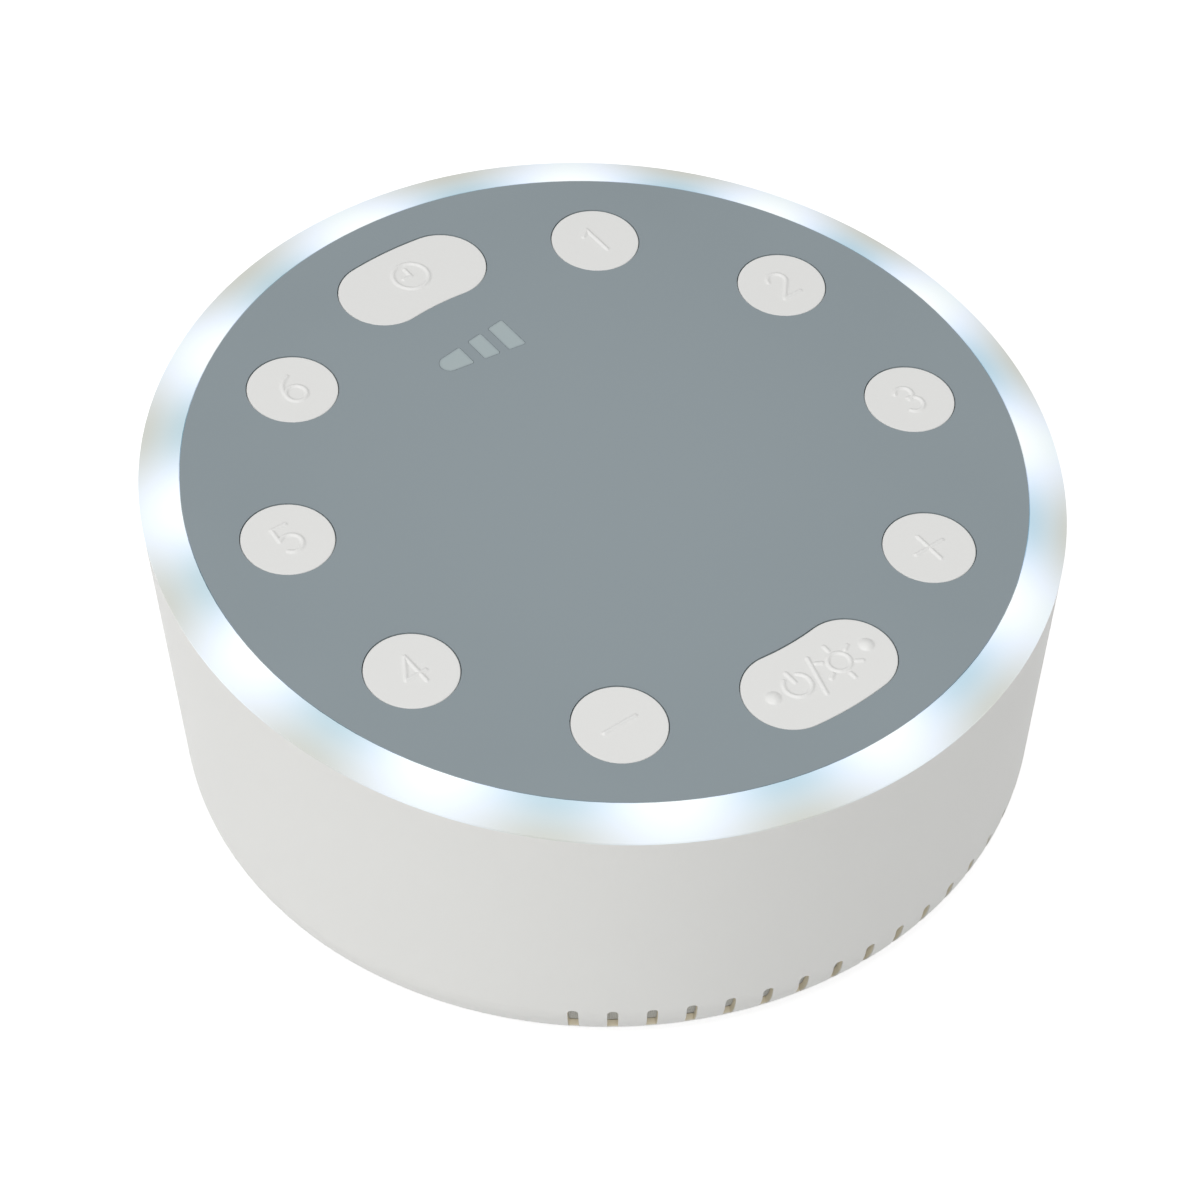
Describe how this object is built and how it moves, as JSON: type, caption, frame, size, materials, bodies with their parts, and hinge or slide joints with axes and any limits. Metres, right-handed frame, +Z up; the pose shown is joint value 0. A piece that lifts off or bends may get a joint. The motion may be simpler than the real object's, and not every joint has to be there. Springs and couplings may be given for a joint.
{
  "type": "white noise sound machine",
  "caption": "Round white noise machine: drafted bowl housing with sound windows, glowing rim ring and a sloping panel of push keys, with a speaker, battery bay and charging inlet.",
  "frame": {"origin": "middle of the housing on the surface that the feet rest on", "axes": "+Z up, -Y to the front where the sound windows are and the panel is lowest, +X to the right along the signs on the keys"},
  "size_m": [0.1298, 0.1298, 0.0596],
  "materials": {
    "white_shell": "fine satin",
    "opal_ring": "translucent, lit from inside",
    "grey_panel": "satin",
    "key_white": "satin",
    "clear_window": "translucent",
    "silicone": "matt",
    "carbon_pill": "matt",
    "circuit_board": "solder mask",
    "led": "encapsulated",
    "chip_black": "moulded",
    "capacitor_can": "satin",
    "connector_white": "moulded",
    "screw_steel": "zinc plated",
    "pressed_steel": "zinc plated",
    "foam": "closed cell",
    "surround_rubber": "matt",
    "cone_paper": "pressed pulp",
    "coil_copper": "enamelled copper",
    "ferrite": "sintered",
    "terminal_board": "laminate",
    "contact_steel": "nickel plated",
    "cell_jacket": "plain sleeve",
    "wire_sleeve": "flexible PVC",
    "foot_rubber": "matt",
    "screen_weave": "fine plain weave"
  },
  "bodies": {
    "casing": {"housing": "white_shell", "light_ring": "opal_ring", "top_panel": "grey_panel", "indicator_lens": "clear_window", "keypad_mat": "silicone", "key_contacts": "carbon_pill", "control_board": "circuit_board", "power_board": "circuit_board", "ring_leds": "led", "indicator_leds": "led", "sound_chip": "chip_black", "power_chips": "chip_black", "board_capacitors": "capacitor_can", "wire_connectors": "connector_white", "board_screws": "screw_steel", "case_screws": "screw_steel", "speaker_screws": "screw_steel", "power_screws": "screw_steel", "speaker_basket": "pressed_steel", "speaker_front_plate": "pressed_steel", "speaker_yoke": "pressed_steel", "speaker_gasket": "foam", "speaker_surround": "surround_rubber", "speaker_cone": "cone_paper", "speaker_dust_cap": "cone_paper", "speaker_voice_coil": "coil_copper", "speaker_magnet": "ferrite", "speaker_terminals": "terminal_board", "battery_contacts": "contact_steel", "battery_springs": "contact_steel", "inlet_socket": "contact_steel", "battery_cell_1": "cell_jacket", "battery_cell_2": "cell_jacket", "battery_cell_3": "cell_jacket", "speaker_leads": "wire_sleeve", "battery_leads": "wire_sleeve", "power_leads": "wire_sleeve", "rubber_feet": "foot_rubber", "dust_screen": "screen_weave"},
    "key_timer": {"key_timer": "key_white"},
    "key_sound_1": {"key_sound_1": "key_white"},
    "key_sound_2": {"key_sound_2": "key_white"},
    "key_sound_3": {"key_sound_3": "key_white"},
    "key_volume_up": {"key_volume_up": "key_white"},
    "key_power": {"key_power": "key_white"},
    "key_volume_down": {"key_volume_down": "key_white"},
    "key_sound_4": {"key_sound_4": "key_white"},
    "key_sound_5": {"key_sound_5": "key_white"},
    "key_sound_6": {"key_sound_6": "key_white"},
    "battery_door": {"battery_door": "white_shell"}
  },
  "joints": [
    {"name": "key_timer_press", "type": "slide", "parent": "casing", "child": "key_timer", "axis": [0, 0.0976, -0.9952], "range_m": [0, 0.001], "stiffness_N_per_m": 1200, "springref_m": -0.0002, "deforming": ["keypad_mat", "key_contacts"]},
    {"name": "key_sound_1_press", "type": "slide", "parent": "casing", "child": "key_sound_1", "axis": [0, 0.0976, -0.9952], "range_m": [0, 0.001], "stiffness_N_per_m": 1200, "springref_m": -0.0002, "deforming": ["keypad_mat", "key_contacts"]},
    {"name": "key_sound_2_press", "type": "slide", "parent": "casing", "child": "key_sound_2", "axis": [0, 0.0976, -0.9952], "range_m": [0, 0.001], "stiffness_N_per_m": 1200, "springref_m": -0.0002, "deforming": ["keypad_mat", "key_contacts"]},
    {"name": "key_sound_3_press", "type": "slide", "parent": "casing", "child": "key_sound_3", "axis": [0, 0.0976, -0.9952], "range_m": [0, 0.001], "stiffness_N_per_m": 1200, "springref_m": -0.0002, "deforming": ["keypad_mat", "key_contacts"]},
    {"name": "key_volume_up_press", "type": "slide", "parent": "casing", "child": "key_volume_up", "axis": [0, 0.0976, -0.9952], "range_m": [0, 0.001], "stiffness_N_per_m": 1200, "springref_m": -0.0002, "deforming": ["keypad_mat", "key_contacts"]},
    {"name": "key_power_press", "type": "slide", "parent": "casing", "child": "key_power", "axis": [0, 0.0976, -0.9952], "range_m": [0, 0.001], "stiffness_N_per_m": 1200, "springref_m": -0.0002, "deforming": ["keypad_mat", "key_contacts"]},
    {"name": "key_volume_down_press", "type": "slide", "parent": "casing", "child": "key_volume_down", "axis": [0, 0.0976, -0.9952], "range_m": [0, 0.001], "stiffness_N_per_m": 1200, "springref_m": -0.0002, "deforming": ["keypad_mat", "key_contacts"]},
    {"name": "key_sound_4_press", "type": "slide", "parent": "casing", "child": "key_sound_4", "axis": [0, 0.0976, -0.9952], "range_m": [0, 0.001], "stiffness_N_per_m": 1200, "springref_m": -0.0002, "deforming": ["keypad_mat", "key_contacts"]},
    {"name": "key_sound_5_press", "type": "slide", "parent": "casing", "child": "key_sound_5", "axis": [0, 0.0976, -0.9952], "range_m": [0, 0.001], "stiffness_N_per_m": 1200, "springref_m": -0.0002, "deforming": ["keypad_mat", "key_contacts"]},
    {"name": "key_sound_6_press", "type": "slide", "parent": "casing", "child": "key_sound_6", "axis": [0, 0.0976, -0.9952], "range_m": [0, 0.001], "stiffness_N_per_m": 1200, "springref_m": -0.0002, "deforming": ["keypad_mat", "key_contacts"]},
    {"name": "battery_door_hinge", "type": "hinge", "parent": "casing", "child": "battery_door", "pos_m": [0, 0.03738, 0.0021], "axis": [1, 0, 0], "range_deg": [0, 85]}
  ]
}
